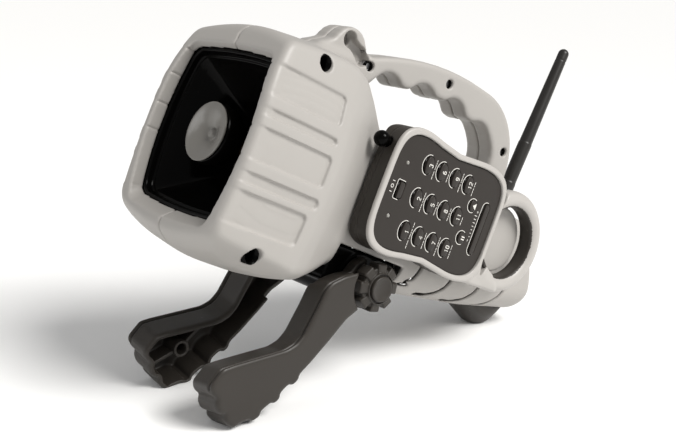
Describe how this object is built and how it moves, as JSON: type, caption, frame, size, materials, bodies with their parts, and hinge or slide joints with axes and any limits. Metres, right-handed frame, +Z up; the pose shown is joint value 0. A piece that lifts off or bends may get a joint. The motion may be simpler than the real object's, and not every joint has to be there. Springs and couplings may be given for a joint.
{
  "type": "electronic game caller",
  "caption": "Portable horn-speaker game caller with a carrying handle, folding antenna, clamped front legs, rear foot and a docked remote control with sprung keys.",
  "frame": {"origin": "on the ground, under the centre of the object's bounding box", "axes": "+Z up, the horn mouth faces -Y, +X towards the docked remote's side"},
  "size_m": [0.092, 0.2846, 0.1816],
  "materials": {
    "case_grey": "moulded, fine texture",
    "rim_grey": "moulded, satin",
    "dark_plastic": "moulded, satin",
    "face_film": "printed overlay",
    "key_rubber": "silicone",
    "gloss_black": "glossy moulded",
    "antenna_black": "satin sleeve",
    "steel": "zinc plated",
    "brass": "turned",
    "plug_grey": "satin moulded",
    "board_green": "solder mask",
    "board_blue": "solder mask",
    "cell_wrap": "shrink wrap",
    "ferrite": "ground",
    "diaphragm": "film",
    "lamp_lens": "clear tinted"
  },
  "bodies": {
    "body": {"body_shell_right": "case_grey", "body_shell_left": "case_grey", "case_screws": "steel", "horn_flare": "gloss_black", "phase_plug": "plug_grey", "driver_frame": "dark_plastic", "driver_diaphragm": "diaphragm", "driver_magnet": "ferrite", "driver_cover": "steel", "main_board": "board_green", "radio_module": "board_blue", "battery_tray": "dark_plastic", "battery_cells": "cell_wrap", "rear_foot": "dark_plastic", "tripod_insert": "brass", "hip_saddle": "gloss_black", "hip_bolts": "steel", "hip_washers": "steel"},
    "antenna_base": {"antenna_swivel": "antenna_black"},
    "antenna": {"antenna_whip": "antenna_black"},
    "leg_r": {"leg_right": "dark_plastic"},
    "leg_l": {"leg_left": "dark_plastic"},
    "clamp_knob_r": {"knob_right": "dark_plastic"},
    "clamp_knob_l": {"knob_left": "dark_plastic"},
    "power_door": {"battery_door": "case_grey", "door_latch": "dark_plastic"},
    "remote": {"remote_bezel": "rim_grey", "remote_housing": "dark_plastic", "remote_face": "face_film", "remote_board": "board_green", "remote_cells": "steel", "remote_door": "dark_plastic", "remote_antenna": "gloss_black", "remote_lamps": "lamp_lens", "remote_screws": "steel"},
    "cap_key_1": {"key_1": "key_rubber"},
    "cap_key_2": {"key_2": "key_rubber"},
    "cap_key_3": {"key_3": "key_rubber"},
    "cap_key_4": {"key_4": "key_rubber"},
    "cap_key_5": {"key_5": "key_rubber"},
    "cap_key_6": {"key_6": "key_rubber"},
    "cap_key_7": {"key_7": "key_rubber"},
    "cap_key_8": {"key_8": "key_rubber"},
    "cap_key_9": {"key_9": "key_rubber"},
    "cap_key_10": {"key_10": "key_rubber"},
    "cap_key_11": {"key_11": "key_rubber"},
    "cap_key_12": {"key_12": "key_rubber"},
    "cap_power_key": {"power_key": "key_rubber"},
    "cap_play_key": {"play_key": "key_rubber"},
    "cap_pause_key": {"pause_key": "key_rubber"},
    "rocker": {"volume_rocker": "key_rubber"}
  },
  "joints": [
    {"name": "leg_right_hinge", "type": "hinge", "parent": "body", "child": "leg_r", "pos_m": [0, -0.04, 0.05304], "axis": [1, 0, 0], "range_deg": [-14, 110]},
    {"name": "leg_left_hinge", "type": "hinge", "parent": "body", "child": "leg_l", "pos_m": [0, -0.04, 0.05304], "axis": [1, 0, 0], "range_deg": [-14, 110]},
    {"name": "knob_right_turn", "type": "hinge", "parent": "leg_r", "child": "clamp_knob_r", "pos_m": [0, -0.04, 0.05304], "axis": [1, 0, 0], "continuous": true},
    {"name": "knob_left_turn", "type": "hinge", "parent": "leg_l", "child": "clamp_knob_l", "pos_m": [0, -0.04, 0.05304], "axis": [-1, 0, 0], "continuous": true},
    {"name": "antenna_turn", "type": "hinge", "parent": "body", "child": "antenna_base", "pos_m": [0, 0.08944, 0.06686], "axis": [0, 0.4289, 0.9033], "range_deg": [-90, 90]},
    {"name": "antenna_fold", "type": "hinge", "parent": "antenna_base", "child": "antenna", "pos_m": [0, 0.09287, 0.07408], "axis": [-1, 0, 0], "range_deg": [0, 88]},
    {"name": "battery_door_hinge", "type": "hinge", "parent": "body", "child": "power_door", "pos_m": [-0.0267, 0.03985, 0.04635], "axis": [0, -0.9033, 0.4289], "range_deg": [0, 110]},
    {"name": "remote_lift", "type": "slide", "parent": "body", "child": "remote", "axis": [1, 0, 0], "range_m": [0, 0.06]},
    {"name": "key_1_press", "type": "slide", "parent": "remote", "child": "cap_key_1", "axis": [-1, 0, 0], "range_m": [0, 0.0012], "stiffness_N_per_m": 400},
    {"name": "key_2_press", "type": "slide", "parent": "remote", "child": "cap_key_2", "axis": [-1, 0, 0], "range_m": [0, 0.0012], "stiffness_N_per_m": 400},
    {"name": "key_3_press", "type": "slide", "parent": "remote", "child": "cap_key_3", "axis": [-1, 0, 0], "range_m": [0, 0.0012], "stiffness_N_per_m": 400},
    {"name": "key_4_press", "type": "slide", "parent": "remote", "child": "cap_key_4", "axis": [-1, 0, 0], "range_m": [0, 0.0012], "stiffness_N_per_m": 400},
    {"name": "key_5_press", "type": "slide", "parent": "remote", "child": "cap_key_5", "axis": [-1, 0, 0], "range_m": [0, 0.0012], "stiffness_N_per_m": 400},
    {"name": "key_6_press", "type": "slide", "parent": "remote", "child": "cap_key_6", "axis": [-1, 0, 0], "range_m": [0, 0.0012], "stiffness_N_per_m": 400},
    {"name": "key_7_press", "type": "slide", "parent": "remote", "child": "cap_key_7", "axis": [-1, 0, 0], "range_m": [0, 0.0012], "stiffness_N_per_m": 400},
    {"name": "key_8_press", "type": "slide", "parent": "remote", "child": "cap_key_8", "axis": [-1, 0, 0], "range_m": [0, 0.0012], "stiffness_N_per_m": 400},
    {"name": "key_9_press", "type": "slide", "parent": "remote", "child": "cap_key_9", "axis": [-1, 0, 0], "range_m": [0, 0.0012], "stiffness_N_per_m": 400},
    {"name": "key_10_press", "type": "slide", "parent": "remote", "child": "cap_key_10", "axis": [-1, 0, 0], "range_m": [0, 0.0012], "stiffness_N_per_m": 400},
    {"name": "key_11_press", "type": "slide", "parent": "remote", "child": "cap_key_11", "axis": [-1, 0, 0], "range_m": [0, 0.0012], "stiffness_N_per_m": 400},
    {"name": "key_12_press", "type": "slide", "parent": "remote", "child": "cap_key_12", "axis": [-1, 0, 0], "range_m": [0, 0.0012], "stiffness_N_per_m": 400},
    {"name": "power_key_press", "type": "slide", "parent": "remote", "child": "cap_power_key", "axis": [-1, 0, 0], "range_m": [0, 0.0012], "stiffness_N_per_m": 400},
    {"name": "play_key_press", "type": "slide", "parent": "remote", "child": "cap_play_key", "axis": [-1, 0, 0], "range_m": [0, 0.0012], "stiffness_N_per_m": 400},
    {"name": "pause_key_press", "type": "slide", "parent": "remote", "child": "cap_pause_key", "axis": [-1, 0, 0], "range_m": [0, 0.0012], "stiffness_N_per_m": 400},
    {"name": "volume_rock", "type": "hinge", "parent": "remote", "child": "rocker", "pos_m": [0.0414, 0.02443, 0.07448], "axis": [0, 0.9033, -0.4289], "range_deg": [-3, 3], "stiffness_Nm_per_rad": 0.08}
  ]
}
